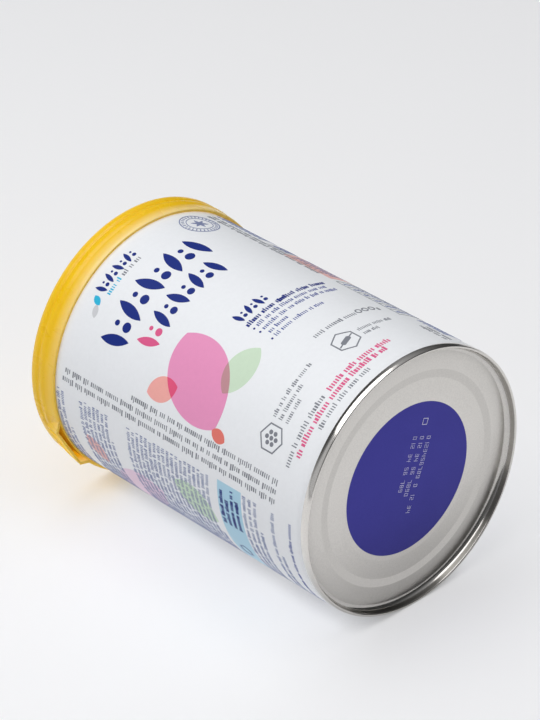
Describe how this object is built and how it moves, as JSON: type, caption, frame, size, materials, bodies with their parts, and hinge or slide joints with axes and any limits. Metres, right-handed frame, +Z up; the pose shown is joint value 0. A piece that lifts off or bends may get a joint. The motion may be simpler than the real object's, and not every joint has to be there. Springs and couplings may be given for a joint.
{
  "type": "infant formula can",
  "caption": "Round tinplate powder can lying on its side, with a stepped, seamed base end and a push-on plastic cap with a ribbed finger tab.",
  "frame": {"origin": "on the floor under the middle of the lying can", "axes": "+Y along the can from its base to its cap, level to within a degree; +Z up; the camera side is -X"},
  "size_m": [0.1031, 0.1418, 0.103],
  "materials": {
    "printed_body": "white base coat with printed fields under a satin varnish",
    "tinplate": "stone-finish tinplate, fine grain, clear lacquer",
    "cap_plastic": "satin yellow polyethylene, slightly translucent"
  },
  "bodies": {
    "root": {"can_body": "printed_body", "base_end": "tinplate", "overcap": "cap_plastic"}
  },
  "joints": []
}
